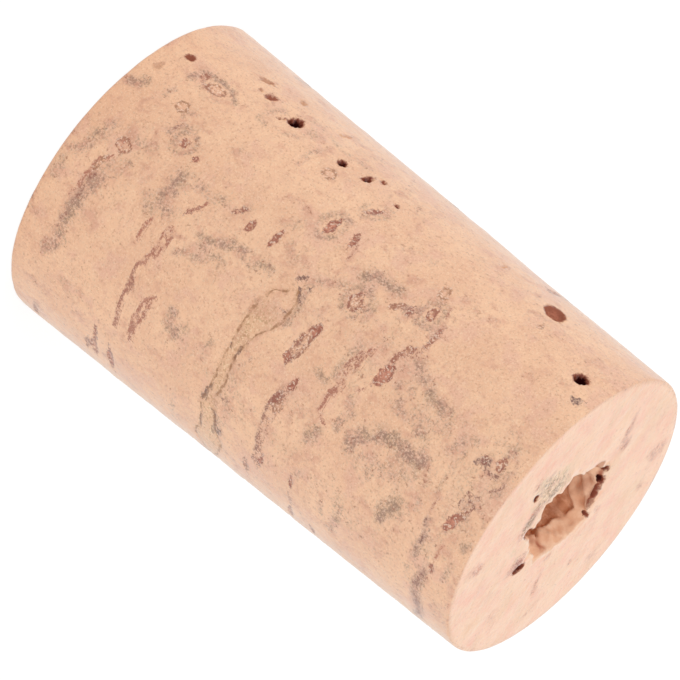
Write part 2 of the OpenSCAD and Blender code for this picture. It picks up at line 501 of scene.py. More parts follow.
# %% Lenses towards the wide end
LENSES += [
    (-10.5, 9.7, 0.75, 0.24, -35, 0.6, 0.5, 0.2), (-1, 7.75, 0.5, 0.2, -20, 0.5, 0.1, 0.1),
    (68.5, 6.95, 2.1, 0.36, 3, 0.85, 0.1, 0), (-14.8, 6.1, 0.38, 0.3, 0, 0.9, 0.2, 0.2),
    (60, 5.95, 1.4, 0.22, -5, 0.7, 0.1, 0), (68.5, 5.85, 1.6, 0.44, 0, 0.5, 0.2, 0.1),
    (70, 5.35, 1.2, 0.36, -10, 0.3, 0.3, 0.1), (-16.6, 5, 0.6, 0.4, -25, 0.6, 0, 0.9),
    (-38.6, 3.85, 1.1, 0.8, -75, 0.28, 0, 0.4), (-26, 3.45, 0.78, 0.74, 0, 0.05, 0, 0.3),
    (-40, 2.9, 0.7, 0.4, 15, 0.35, 0, 0.3), (-3.5, 2.7, 0.92, 0.78, 80, 0.35, 0, 0.3),
    (5.5, 2.3, 0.9, 0.36, -8, 0.2, 0, 0.2), (78, 1.5, 1.4, 0.34, -8, 0.4, 0.2, 0.1),
]
print(f"{len(LENSES)} lenses laid by hand")

# %% [markdown]
# The back of the plug isn't described mark by mark. Its marks are drawn at
# random, but each one asks first which way the side faces there: near the
# grain's axis it becomes a small dot, and away from it a streak.

# %% Marks on the back by the same rule
BACK_MARKS = 95
# How squarely the side must face the grain's way for a mark to be a dot
DOT_FACING = 0.80
chance = np.random.default_rng(7)
back_lenses = []
for number in range(BACK_MARKS):
    angle = chance.uniform(88, 272)
    level = chance.uniform(0.6, LENGTH - 0.6)
    facing = abs(np.cos(np.radians(angle - GRAIN_ANGLE)))
    width = chance.uniform(0.18, 0.55)
    stretch = chance.uniform(0.9, 1.5) if facing > DOT_FACING else chance.uniform(2, 6)
    tilt = chance.normal(0, 7)
    fill = chance.uniform(0.1, 0.95)
    grey = chance.uniform(0, 0.5)
    halo = chance.uniform(0, 0.8) ** 2
    back_lenses.append((angle, level, width * stretch, width, tilt, fill, grey, halo))
print(f"{len(back_lenses)} marks drawn at random for the back")

# %% [markdown]
# Where two lenses overlap, each point takes the one that it lies deepest in.
# The crumb is softer than the cork round it and sands away faster, so a full
# lens is sunk by a tenth of a millimetre. A halo is a ring round its lens.

# %% Lay the lenses
# How pointed a lens is: 2 is an oval and 1 a diamond
LENS_SHARP = 1.5
# Depth of a full lens, and how far its halo reaches past it
LENS_SINK = 0.10
HALO_REACH = 0.45

lens_field = np.full(height.shape, FAR)
lens_fill = np.zeros(height.shape)
lens_grey = np.zeros(height.shape)
halo_field = np.zeros(height.shape)
lens_sunk = np.zeros(height.shape)
for angle, level, length, width, tilt, fill, grey, halo in LENSES + back_lenses:
    offset = side_offset(angle, level)
    field = inside(offset, length, width, tilt, LENS_SHARP)
    field = np.where(side_zone, field, FAR)
    nearer = field > lens_field
    lens_field[nearer] = field[nearer]
    lens_fill[nearer] = fill
    lens_grey[nearer] = grey
    ring = reach(offset, length + 2 * HALO_REACH, width + 2 * HALO_REACH, tilt)
    ring = halo * side_zone * np.exp(-((ring - 0.85) / 0.33) ** 2)
    halo_field = np.maximum(halo_field, ring)
    lens_sunk = np.maximum(lens_sunk, (0.3 + 0.7 * fill) * smooth(field, -0.05, 0.2))
push -= outward * (LENS_SINK * lens_sunk * side_zone)[..., None]
print(f"Lenses cover {(lens_field[on_side] > 0).mean():.1%} of the side's points")

# %% [markdown]
# ## Loose streaks
#
# Where a pore runs just under the skin it shows as a loose band of red-brown
# crumb with no edge of its own. Such a streak, and a cloud of dark cells too,
# is given by a few points along its middle. Its field falls away softly with
# the distance from that line.

# %% Loose streaks in the upper half
# Strength, half-width, darkness, and the angle and height of points along it
STREAKS = [
    (0.7, 0.07, 1, [(-36, 29.5), (-34.6, 29.1), (-32.6, 29.1)]),
    (0.9, 0.08, 1, [(-35.5, 29.2), (-33.5, 29.4), (-34.2, 28.8)]),
    (0.8, 0.12, 0.7, [(3.5, 29), (4.5, 28.6), (4, 28.3)]),
    (0.8, 0.1, 0.6, [(-6, 28.9), (-3, 29.5), (3, 29.55), (7, 29.5), (9, 29.1)]),
    (0.9, 0.16, 0.7, [(13.5, 28.8), (16, 28.6), (18.5, 28.3)]),
    (0.7, 0.08, 0, [(34, 28.5), (39, 28.4), (44, 28.4)]),
    (0.8, 0.1, 0.6, [(14, 28.3), (16, 28.9), (19, 28.9)]),
    (0.8, 0.16, 0.9, [(1, 28.1), (3.6, 27.7)]),
    (0.9, 0.2, 0.6, [(50, 28), (57, 27.8), (66, 27.9), (76, 27.9)]),
    (0.7, 0.14, 0.8, [(30, 27.1), (36, 27.35), (44, 27.3)]),
    (0.6, 0.1, 0.3, [(21, 27.1), (24, 27.05), (28, 27.1)]),
    (0.6, 0.12, 0.3, [(-12, 22.1), (-9, 21.6), (-7, 20.9)]),
    (0.8, 0.1, 0.3, [(-16, 21.9), (-12, 21.5), (-8, 21.2), (-4, 21)]),
    (0.8, 0.08, 0.2, [(-31, 21.2), (-27, 21.5), (-22, 21.8), (-17, 21.95)]),
    (0.7, 0.07, 0.2, [(4, 20.95), (8, 20.85), (12, 20.4)]),
    (0.9, 0.14, 0.5, [(-24, 20.1), (-21, 19.6), (-19, 19.1)]),
    (1.1, 0.13, 0.2, [(-3, 19.8), (4, 19.75), (10, 19.55), (13, 19.65), (18, 19.4)]),
    (1.2, 0.1, 0.2, [(14, 19.55), (19, 19.35), (25, 19.32), (26.5, 19.8)]),
    (1, 0.12, 0.3, [(0, 19.5), (7, 19.35), (12, 19.3)]),
    (0.6, 0.12, 0.4, [(62, 19.4), (68, 19.45)]),
    (0.7, 0.08, 0.3, [(33, 17.6), (37, 17.45), (46, 17.35), (55, 17.45)]),
    (0.75, 0.3, 0.4, [(26, 17.3), (31, 17.2), (38, 17.05), (48, 17.05), (61, 17.1)]),
    (1, 0.08, 0.7, [(29, 16.95), (36, 16.85), (42, 16.78), (50, 16.84), (60, 16.75)]),
    (0.6, 0.1, 0.5, [(65, 16.4), (72, 16.4), (79, 16.5)]),
    (1, 0.08, 1, [(-5.8, 15.3), (-4.8, 15.35)]),
    (0.6, 0.1, 0.3, [(-30, 15.2), (-26, 15.4), (-22, 15.6)]),
    (1, 0.08, 0.8, [(4.2, 15.15), (6.2, 15.1), (5.4, 14.85)]),
    (0.8, 0.08, 0.5, [(-45, 15.1), (-43, 14.6), (-40, 14.2)]),
]
print(f"{len(STREAKS)} loose streaks in the upper half")

# %% Loose streaks in the lower half
STREAKS += [
    (1.2, 0.08, 0.9, [(-3.8, 14.8), (-2, 15.05), (-0.2, 15.35)]),
    (0.9, 0.12, 0.9, [(-7.6, 14.7), (-6, 14.45)]),
    (0.7, 0.12, 0.8, [(44, 14.6), (44.5, 14.3), (44.3, 13.95)]),
    (0.9, 0.1, 1, [(59, 14.6), (61.5, 14.5)]),
    (0.35, 0.22, 0.6, [(29, 14.2), (36, 14.1), (42, 14.2), (48, 13.95), (52, 13.9)]),
    (1.2, 0.1, 1, [(24.6, 14.1), (26.6, 14.15), (29, 14.05)]),
    (1, 0.12, 1, [(52, 13.8), (53, 14.1), (56, 14.3), (62, 14.15)]),
    (1, 0.08, 1, [(25.2, 13.5), (27, 13.6)]),
    (1.4, 0.09, 1, [(43, 13.45), (46.5, 13.35), (50, 13.25)]),
    (0.9, 0.1, 0.9, [(59, 13.3), (64, 13.35)]),
    (0.7, 0.08, 0.1, [(-15, 12.35), (-12, 12.2), (-8, 12)]),
    (1.2, 0.12, 0.2, [(30, 8.7), (33, 8.25), (38, 8.1), (46, 8.1), (50, 8.2)]),
    (1.1, 0.09, 0.2, [(30, 8.7), (36, 8.6), (42, 8.4), (49, 8.2)]),
    (1.1, 0.12, 0.2, [(-6, 8.1), (-3, 7.9), (0, 7.65)]),
    (1.1, 0.1, 0.2, [(7, 7.5), (12, 7.8), (16, 7.75), (20, 7.4), (25, 7.05)]),
    (1, 0.1, 0.2, [(7, 7.4), (13, 7.35), (18, 7.3), (22, 7.1)]),
    (1.1, 0.1, 0.4, [(20, 7.25), (25, 7), (28, 7.05), (32, 7.4)]),
    (1.3, 0.11, 0.3, [(29, 7.1), (36, 7.1), (43, 7.05), (50, 7)]),
    (1, 0.12, 0.1, [(10, 6.4), (13, 6.25), (17, 6.3)]),
    (0.7, 0.1, 0.1, [(-39, 4.3), (-36.5, 3.9), (-36.8, 3.2), (-38.5, 2.8), (-41, 3)]),
    (0.8, 0.1, 0.6, [(-21, 4.2), (-18, 4), (-16, 4.2)]),
    (1.1, 0.12, 0.1, [(2, 2.5), (5, 2.1), (10, 2.15), (14, 2.05), (20, 1.9)]),
    (0.7, 0.14, 0.5, [(9, 2.5), (16, 2.35), (24, 2.1), (33, 1.9)]),
    (0.6, 0.12, 0.1, [(34, 2), (39, 1.75), (44, 1.7)]),
]
print(f"{len(STREAKS)} loose streaks laid by hand")

# %% A helper for lines on the side


def along_line(path):
    """Millimetres from a line through places on the side, negative above it."""
    nearest = np.full(height.shape, -FAR)
    for (angle, level), (next_angle, next_level) in zip(path, path[1:]):
        along, up = side_offset(angle, level)
        run = (next_angle - angle) * girth
        rise = next_level - level
        share = np.clip((along * run + up * rise) / (run ** 2 + rise ** 2), 0, 1)
        gap = np.hypot(along - share * run, up - share * rise)
        gap = gap * np.where(along * rise < up * run, -1, 1)
        nearest = np.where(np.abs(gap) < np.abs(nearest), gap, nearest)
    return nearest


print(f"A line is followed out to {-FAR} mm on each side")

# %% [markdown]
# The back gets its streaks from the same random draw, by the grain's rule: they
# are long a quarter turn from the grain, and short where the side faces it. The
# field keeps the signed distance, so the finish can let a streak wander.

# %% Lay the streaks
BACK_STREAKS = 16
back_streaks = []
for number in range(BACK_STREAKS):
    angle = chance.uniform(96, 246)
    level = chance.uniform(1, LENGTH - 1)
    facing = abs(np.cos(np.radians(angle - GRAIN_ANGLE)))
    span = chance.uniform(8, 24) * (1.2 - facing)
    rises = level + chance.normal(0, 0.14, 4)
    path = [(angle + span * share, rise) for share, rise in zip((0, 0.3, 0.6, 1), rises)]
    form = (chance.uniform(0.6, 1.1), chance.uniform(0.07, 0.16), chance.uniform(0, 0.6))
    back_streaks.append((*form, path))

streak_gap = np.full(height.shape, -FAR)
streak_half = np.ones(height.shape)
streak_field = np.zeros(height.shape)
streak_dark = np.zeros(height.shape)
for strength, half_width, dark, path in STREAKS + back_streaks:
    gap = along_line(path)
    fade = strength * (1 - smooth(np.abs(gap), half_width + 0.10, half_width + 0.35))
    closer = (np.abs(gap) / half_width < np.abs(streak_gap) / streak_half) & side_zone
    streak_gap[closer] = gap[closer]
    streak_half[closer] = half_width
    streak_field[closer] = fade[closer]
    streak_dark[closer] = dark
longest = max(path[-1][0] - path[0][0] for *form, path in back_streaks)
print(f"{len(back_streaks)} streaks at random on the back, up to {longest:.0f} degrees long")

# %% [markdown]
# ## Two long cracks
#
# Halfway up, two thin cracks run round the plug side by side and meet again
# past its right side. The cork between them is yellower and full of pale
# crumbs. Each crack is a wavy line, so its field is simply the height above or
# below that line, and the cork between them lies below one and above the other.

# %% The lines of the cracks
# Angle and height of points along each crack
UPPER_CRACK = [
    (-3, 14.9), (0.8, 15.2), (5.2, 15.15), (8, 15.25), (12, 15), (14.6, 14.84),
    (17.3, 14.5), (21.2, 14.25), (24.3, 14.15), (29, 14.05), (38, 14.15), (46, 13.9),
    (53, 14.1), (61, 14.3), (67, 14.7), (75, 14.4), (82, 13.9), (92, 13.85), (106, 13.4),
]
LOWER_CRACK = [
    (-2.7, 14.6), (0.5, 14.4), (1.8, 13.85), (4.2, 13.67), (12, 13.5), (23.5, 13.5),
    (35, 13.5), (42.7, 13.4), (50, 13.25), (52.7, 13.15), (62, 13.3), (70, 12.9),
    (80, 13.3), (92, 13.15), (106, 13.4),
]
# Height given where no crack is near
NO_CRACK = 3.0
crack_levels = [level for angle, level in UPPER_CRACK]
print(f"The upper crack wanders over {np.ptp(crack_levels):.1f} mm of height")

# %% Open the cracks
# Half-width and depth of the dip along a crack
CRACK_HALF = 0.20
CRACK_SINK = 0.03
# Distance from the axis at which the waver of a crack is read
CRACK_R = 8.7


def above_crack(path):
    """Height above a crack's line, or NO_CRACK past its ends."""
    known = np.array(path, float)
    line = np.interp(angles, known[:, 0], known[:, 1])
    line = line + 0.06 * lumps(outward * CRACK_R, 0.6, 41)
    lift = np.clip(height - line, -NO_CRACK, NO_CRACK)
    past = (angles < known[0, 0]) | (angles > known[-1, 0])
    return np.where(side_zone & ~past, lift, NO_CRACK)


upper_lift = above_crack(UPPER_CRACK)
lower_lift = above_crack(LOWER_CRACK)
between = smooth(-upper_lift, -0.1, 0.3) * smooth(lower_lift, -0.1, 0.3)
between = between * (np.abs(lower_lift) < NO_CRACK) * smooth(angles, 2, 14)
crack_cut = np.maximum(
    1 - smooth(np.abs(upper_lift), 0, CRACK_HALF),
    1 - smooth(np.abs(lower_lift), 0, CRACK_HALF),
)
push -= outward * (CRACK_SINK * crack_cut)[..., None]
print(f"The cracks take up {(crack_cut > 0).sum()} of the grid's points")

# %% [markdown]
# ## Grey clouds
#
# Clouds of mauve-grey specks drift over the side. They are the darker cells
# that grew at the end of each year. Each is a soft band along a line, or on the
# two ends an oval, and the finish breaks it into specks. The layers run right
# through the plug, so both ends show them in the same places.

# %% Clouds towards the narrow end
# Strength, half-width, and the angle and height of points along the middle
CLOUD_BANDS = [
    (0.6, 0.35, [(28.5, 29.8), (31, 29.6)]), (0.6, 0.3, [(39, 29.4), (46, 29.2)]),
    (0.5, 0.55, [(13, 28.9), (19, 28.6), (24, 28.9)]),
    (0.5, 0.7, [(-7, 28.7), (0, 29.3), (8, 29.3)]),
    (0.34, 1.2, [(-10, 28.4), (10, 28), (34, 28.2), (54, 27.4)]),
    (0.85, 0.42, [(50, 28.1), (58, 27.8), (70, 28), (82, 27.8)]),
    (0.8, 0.28, [(30, 27.3), (37, 27.5), (45, 27.3)]),
    (0.5, 0.4, [(-1, 27), (2, 26.3), (7, 26.2)]),
    (0.55, 0.22, [(4, 26.9), (12, 26.8), (21, 26.9)]),
    (0.45, 0.6, [(28, 26.2), (33.5, 25.8), (38, 25.7)]),
    (0.5, 1.1, [(19, 25.5), (24, 24.4), (29, 23)]),
    (1, 0.5, [(15.5, 25.4), (16.6, 24.6), (16, 23.6), (17.5, 22.7)]),
    (1, 0.55, [(33.5, 25.3), (37, 25), (41.5, 24.7)]),
    (0.4, 1, [(2, 25.2), (3, 23.6), (-3, 22.2)]),
    (0.6, 0.5, [(10.4, 25), (7, 24), (6.9, 22.9), (0.6, 22.2)]),
    (0.22, 4, [(2, 25), (18, 25), (34, 26)]),
    (0.75, 0.45, [(-2.6, 24.9), (-3, 23.9), (-6.5, 22.8), (-9.5, 22.1)]),
    (0.9, 0.45, [(17.5, 22.7), (20.3, 22.1), (25.2, 21.6), (28, 21.7)]),
    (0.6, 0.4, [(49, 22.5), (60, 22.4), (66, 22)]), (0.45, 0.3, [(52, 21.3), (60, 21.4)]),
    (0.8, 0.32, [(-21, 21.2), (-19.5, 20.6), (-21, 19.7)]),
    (0.6, 0.25, [(-28, 21.2), (-24, 21.6), (-18, 21.6)]),
    (0.7, 0.35, [(14.6, 20.5), (18, 20.9), (24.5, 20.6)]),
    (0.35, 0.35, [(-60, 20.3), (-57, 19.4)]), (0.3, 1.2, [(-10, 20), (12, 20.2)]),
    (0.18, 3, [(60, 20), (76, 24)]),
]
print(f"{len(CLOUD_BANDS)} clouds towards the narrow end")

# %% Clouds round the middle
CLOUD_BANDS += [
    (0.6, 0.35, [(50, 19.7), (58, 19.3)]), (0.95, 0.35, [(30, 19.7), (35, 19.5)]),
    (0.65, 0.28, [(-3, 19.2), (3, 19.15), (12, 19.1)]),
    (0.6, 0.3, [(14.5, 18.9), (14, 18.2)]), (0.4, 0.35, [(-44, 18.9), (-41, 18.5)]),
    (0.85, 0.45, [(-24, 18.7), (-23, 17.6), (-20, 16.9)]),
    (0.22, 2.5, [(-14, 18.5), (8, 19.5), (30, 18)]),
    (0.5, 0.45, [(-15, 18.4), (-9, 18.3), (-8, 17.2)]),
    (0.55, 0.4, [(-15, 16.6), (-11, 15.9), (-7.5, 15.2)]),
    (0.65, 0.25, [(-6, 15.2), (2, 15.5), (9, 15.5)]),
    (0.9, 0.16, [(25.2, 14.9), (25.6, 14.9)]),
    (0.5, 0.28, [(-47, 14.9), (-43, 14.9), (-39, 14.2)]),
    (0.4, 0.6, [(30, 14.6), (60, 14.7)]),
    (0.7, 0.4, [(-1.8, 13), (-0.8, 11.8), (-0.5, 10.6)]),
    (0.55, 0.3, [(28.5, 12.6), (32, 12.2), (36, 12.4)]),
    (0.5, 0.4, [(-22, 12.6), (-18, 12.3), (-17, 11.8)]),
    (0.4, 0.3, [(-58, 12), (-55, 10.5), (-58, 9)]),
    (0.35, 0.3, [(56, 11.5), (70, 11.3), (80, 11.6)]),
    (0.55, 0.3, [(5.5, 11), (6.5, 10.2), (7, 9.2)]),
    (0.8, 0.4, [(32, 10.9), (36, 10.5), (34.5, 9.9), (30, 9.9)]),
    (0.75, 0.4, [(-0.5, 10.8), (2, 9.8), (3.5, 9.1)]),
    (0.26, 2, [(36, 10.5), (44, 15.5), (46, 21), (54, 25)]),
    (0.45, 0.3, [(-14, 10), (-9, 9.5)]),
]
print(f"{len(CLOUD_BANDS)} clouds down to the middle")

# %% Clouds towards the wide end
CLOUD_BANDS += [
    (0.6, 0.28, [(9.5, 9.9), (10.5, 9), (13.5, 8.4)]),
    (0.5, 0.26, [(-52, 9.9), (-45, 9.75), (-38, 9.85)]), (0.2, 3, [(0, 9), (14, 9)]),
    (0.5, 0.4, [(-10, 8.9), (-8, 8), (-9, 6.6)]),
    (0.45, 0.3, [(-46, 8.6), (-42.5, 7.6), (-40.5, 6.6), (-44, 6.3), (-52, 6.8)]),
    (0.6, 0.5, [(3, 7.2), (5, 6.4), (4, 5.4)]), (0.8, 0.6, [(-7, 6.2), (0, 6.2), (6, 5.9)]),
    (0.85, 0.24, [(-40, 5), (-42.6, 4.6), (-43.2, 3.6), (-41.5, 2.5)]),
    (0.6, 0.35, [(-22, 5), (-20.5, 4.2), (-16.5, 4.1), (-13.5, 4.8)]),
    (0.2, 1.8, [(-22, 5), (-12, 6)]), (0.6, 0.25, [(-26, 4.2), (-23.8, 3.8)]),
    (0.6, 0.4, [(-9, 3.9), (-7.5, 3.2), (-8.5, 2.4)]),
    (0.6, 0.3, [(0, 3.6), (3.5, 3.2), (4, 2.8)]),
    (0.24, 2, [(-8, 3), (10, 3.2), (30, 2.6)]),
    (1, 0.5, [(9, 2.6), (16, 2.5), (22, 2.3), (27, 2.3)]),
    (0.9, 0.3, [(-38.5, 2.6), (-36.5, 2.4)]), (0.7, 0.3, [(-27.5, 2.4), (-25.5, 2.3)]),
    (0.8, 0.45, [(27, 2.3), (36, 2.4), (41, 1.9)]), (0.5, 0.35, [(72, 1.8), (80, 1.5)]),
    (0.6, 0.5, [(-7, 1.5), (0, 1.2), (7, 0.9)]),
    (0.8, 0.38, [(-25, 1.1), (-22.5, 0.8), (-22, 0.3)]), (0.6, 0.4, [(8, 0.5), (18, 0.6)]),
]
print(f"{len(CLOUD_BANDS)} clouds laid by hand on the side")

# %% Clouds on the two ends
# Across, back, length, width, tilt, strength
FACE_CLOUDS = [
    (-0.8, -3.5, 2, 0.8, 0, 0.95), (-0.7, -4.6, 1.5, 1.7, 0, 0.62),
    (-0.4, -5.8, 0.9, 0.6, 20, 0.8), (1.1, -3.5, 2.3, 0.7, 28, 1.2),
    (3.3, -1, 1.2, 1, 0, 1.25), (-5.3, -0.6, 2.4, 0.5, 35, 0.85),
    (-4.7, 0.3, 0.9, 0.8, 0, 0.85), (-5.5, 4.6, 1.5, 1.4, 0, 0.62),
    (-3.7, 5.9, 0.6, 0.8, -60, 0.6), (3.5, 3.2, 2.2, 0.5, 45, 0.6),
    (2.2, 1.9, 1, 0.6, 0, 0.4), (4.7, -5, 1, 1.4, 40, 0.6), (1.6, 5, 0.5, 0.5, 0, 0.6),
    (-1.2, 3.4, 1.6, 0.5, 60, 0.45), (0.4, 7, 3, 0.9, 0, 0.3), (6.2, 1.2, 1.2, 2.2, 0, 0.3),
    (-7, 2, 2, 0.6, 40, 0.3), (5, 4.8, 1.6, 0.7, 0, 0.3),
]
# Greyer, olive cork on the narrow face, placed in the same way
OLIVE_PATCHES = [
    (-0.7, -4, 2.6, 3.2, 0, 1), (1.3, -3.3, 2, 0.9, 20, 0.8),
    (3.2, -1.6, 1.6, 1.2, 40, 0.45), (3, -2.4, 1.2, 0.8, 60, 0.35),
]
print(f"{len(FACE_CLOUDS)} clouds on the ends, {len(OLIVE_PATCHES)} olive patches")

# %% [markdown]
# The back's clouds are drawn at random too. Away from the grain they stand
# upright, and near its axis they lie flat, as the rings of growth do. Each bends
# a little on its way, because a straight one looks like a stroke of a pen.

# %% Lay the clouds
BACK_CLOUDS = 48


def cloud_at(offset, length, width, tilt, strength):
    """A soft oval, strongest in the middle."""
    return strength * np.exp(-reach(offset, length, width, tilt) ** 2)


back_bands = []
for number in range(BACK_CLOUDS):
    angle = chance.uniform(94, 262)
    level = chance.uniform(0, LENGTH)
    facing = abs(np.cos(np.radians(angle - GRAIN_ANGLE)))
    turn_by = chance.uniform(2, 9) * facing
    climb = chance.uniform(0.4, 1.6) * (1.1 - facing)
    sway = chance.normal(0, 2.5, 4) * (1.2 - facing)
    wave = chance.normal(0, 0.3, 4)
    path = [(angle + turn_by * step + away, level + climb * step + off)
            for step, away, off in zip((-1, -0.3, 0.4, 1), sway, wave)]
    back_bands.append((chance.uniform(0.3, 0.8), chance.uniform(0.25, 0.6), path))

cloud_field = np.zeros(height.shape)
for strength, half_width, path in CLOUD_BANDS + back_bands:
    cloud = strength * np.exp(-(along_line(path) / half_width) ** 2) * side_zone
    cloud_field = np.maximum(cloud_field, cloud)
for across, back, *form in FACE_CLOUDS:
    cloud = cloud_at(face_offset(across, back), *form) * both_ends
    cloud_field = np.maximum(cloud_field, cloud)
olive_field = np.zeros(height.shape)
for across, back, *form in OLIVE_PATCHES:
    patch = cloud_at(face_offset(across, back), *form) * on_face[:, None]
    olive_field = np.maximum(olive_field, patch)
print(f"Clouds darken {(cloud_field[on_side] > 0.3).mean():.0%} of the side's points")

# %% [markdown]
# ## The skin
#
# Sanding leaves cork slightly uneven, because soft and hard cells wear at
# different rates. The side swells and dips by a few hundredths of a millimetre,
# and the face carries the fine grooves of the abrasive. Next to the torn mouth
# the face is also a little crumbled.

# %% Uneven skin
swell = 0.030 * lumps(points, 3.0, 51) + 0.016 * lumps(points, 0.9, 52)
swell = swell + 0.010 * lumps(points, 0.35, 53)
push += outward * (swell * side_zone)[..., None]
rasp = 0.012 * lumps(points * [0.25, 1, 1], 0.35, 54) + 0.018 * lumps(points, 1.2, 55)
rasp = rasp * smooth(radius, BORE_R, BORE_R + 0.4)
push[..., 2] += np.where(on_face[:, None], rasp, 0.0)
# Under the wide end the grooves only rise, so the plug doesn't pass its floor
push[..., 2] += np.where(on_under[:, None], np.abs(rasp), 0.0)
crumble = 0.10 * np.maximum(lumps(points, 0.5, 56), 0)
crumble = crumble * (1 - smooth(radius - mouth_radius, 0.0, 0.5))
push[..., 2] -= np.where(on_face[:, None], crumble, 0.0)
points = points + push
print(f"The side swells and dips by up to {np.abs(swell).max():.3f} mm")

# %% [markdown]
# ## Writing the mesh
#
# The grid's points become vertices, and each cell becomes one four-sided face.
# Rows and columns both close on themselves, so the mesh has no open edge.

# %% Build the cork's mesh
row_count = len(rows)


def grid_faces():
    """The four corners of every cell, wrapped both ways."""
    here = np.arange(row_count * columns).reshape(row_count, columns)
    beside = np.roll(here, -1, axis=1)
    above = np.roll(here, -1, axis=0)
    across = np.roll(beside, -1, axis=0)
    return np.stack([here, beside, across, above], axis=-1).reshape(-1, 4)


mesh = bpy.data.meshes.new("cork")
mesh.from_pydata((points.reshape(-1, 3) * MM).tolist(), [], grid_faces().tolist())
mesh.polygons.foreach_set("use_smooth", np.ones(row_count * columns, bool))
mesh.update()
cork = bpy.data.objects.new("cork", mesh)
bpy.context.collection.objects.link(cork)
ahead = np.roll(points, -1, axis=1) - points
upward = np.roll(points, -1, axis=0) - points
facing_out = (np.cross(ahead, upward)[on_side] * outward).sum(-1) > 0
print(f"Share of cells on the side that face outward: {facing_out.mean():.3f}")

# %% [markdown]
# The fields go along with the mesh as attributes: named numbers on each point,
# which the finish can read. They move with the mesh and need no image and no
# unwrapping.

# %% Write the fields on the mesh
FIELDS = {
    "pore": pore_field, "pore_dark": pore_dark,
    "lens": lens_field, "lens_fill": lens_fill, "lens_grey": lens_grey,
    "halo": halo_field, "cloud": cloud_field,
    "upper_crack": upper_lift, "lower_crack": lower_lift, "between": between,
    "end": both_ends, "bore": in_hole,
    "drilled": np.where(in_mouth[:, None], under_foot, in_bore[:, None]),
    "stain_and_shade": stain_and_shade_field, "olive": olive_field,
    "streak": streak_field, "streak_dark": streak_dark,
    "streak_gap": streak_gap, "streak_half": streak_half,
    "fibre": fibre_shading_tone, "lip": lip_field,
}
for name, field in FIELDS.items():
    values = np.broadcast_to(field, height.shape).astype(np.float32).ravel()
    mesh.attributes.new(name, "FLOAT", "POINT").data.foreach_set("value", values)
print(f"{len(FIELDS)} fields on {row_count * columns} points")

# %% [markdown]
# ## The finish
#
# The colour is built up the way the cork shows it: a peach ground with soft
# patches, a fine speckle of cells, grey clouds broken into specks, then the
# lenses, the cracks and the pores on top. A painted image would go soft close
# up, while a node graph stays sharp at any distance. A few helpers keep the
# graph readable, and every colour is written as it would be mixed on a screen.

# %% Start the node graph


def start_tree(holder):
    """An empty node graph for a material or the world."""
    holder.use_nodes = True
    holder.node_tree.nodes.clear()
    return holder.node_tree


def put(socket, value):
    """Links a socket to another, or sets its value."""
    if isinstance(value, bpy.types.NodeSocket):
        tree.links.new(value, socket)
    elif value is not None:
        socket.default_value = value


def add_node(kind, inputs):
    """A new node in the graph, with its inputs given by name or number."""
    node = tree.nodes.new("ShaderNode" + kind)
    for name, value in inputs.items():
        put(node.inputs[name], value)
    return node


finish_material = bpy.data.materials.new("natural cork")
tree = start_tree(finish_material)
print(f"{finish_material.name} starts with {len(tree.nodes)} nodes")

# %% Helpers for sums


def field_of(name):
    """The value of one of the cork's fields."""
    reader = add_node("Attribute", {})
    reader.attribute_name = name
    return reader.outputs["Fac"]


def calc(operation, first, second=None):
    """One sum on one or two values."""
    step = add_node("Math", {0: first, 1: second})
    step.operation = operation
    return step.outputs[0]


def times(first, second):
    """Two values multiplied."""
    return calc("MULTIPLY", first, second)


def plus(first, second):
    """Two values added."""
    return calc("ADD", first, second)


def minus(first, second):
    """The second value taken from the first."""
    return calc("SUBTRACT", first, second)


def ease(value, start, end):
    """0 at start, 1 at end, with a smooth step between, whichever is larger."""
    step = add_node("MapRange", {
        "Value": value, "From Min": min(start, end), "From Max": max(start, end),
        "To Min": float(start > end), "To Max": float(start < end),
    })
    step.interpolation_type = "SMOOTHSTEP"
    return step.outputs["Result"]


print("Ready: field_of, calc, times, plus, minus and ease")

# %% Helpers for colours
# Names repeat on the mix node, so its colour sockets are found by number
UNDER_SOCKET = 6
OVER_SOCKET = 7
MIXED_SOCKET = 2


def paint(red, green, blue):
    """A screen colour, 0 to 255 each, as the linear colour that nodes use."""
    screen = np.array([red, green, blue]) / 255
    linear = np.where(screen > 0.04045, ((screen + 0.055) / 1.055) ** 2.4, screen / 12.92)
    return (*linear.tolist(), 1.0)


def blend(share, under, over):
    """The colour over laid on the colour under."""
    step = tree.nodes.new("ShaderNodeMix")
    step.data_type = "RGBA"
    put(step.inputs["Factor"], share)
    put(step.inputs[UNDER_SOCKET], under)
    put(step.inputs[OVER_SOCKET], over)
    return step.outputs[MIXED_SOCKET]


def lay(under, share, colour, strength):
    """A colour laid where share says, and nowhere more than that strength."""
    return blend(times(share, strength), under, colour)


print(f"Half grey on a screen is {paint(128, 128, 128)[0]:.2f} of the light of white")

# %% Helpers for noise
place = add_node("TexCoord", {}).outputs["Object"]


def stretched(along, across, up):
    """The place on the cork in millimetres, squeezed along and across the grain."""
    turned = add_node("Mapping", {"Vector": place})
    turned.inputs["Rotation"].default_value[2] = -grain + np.pi / 2
    scale = (along / MM, across / MM, up / MM)
    squeezed = add_node("VectorMath", {0: turned.outputs[0], 1: scale})
    squeezed.operation = "MULTIPLY"
    return squeezed.outputs[0]


even = stretched(1, 1, 1)


def specks(size, detail=2.0, rough=0.5, where=even, warp=0.0):
    """Soft noise in specks of about that many millimetres, 0 to 1."""
    return add_node("TexNoise", {
        "Vector": where, "Scale": 1 / size, "Detail": detail,
        "Roughness": rough, "Distortion": warp,
    }).outputs["Fac"]


def jitter(size, amount, detail=3.0, rough=0.7):
    """The same noise round zero, which makes an edge or a tone uneven."""
    return times(minus(specks(size, detail, rough), 0.5), amount)


print(len(tree.nodes), "nodes read the place on the cork")

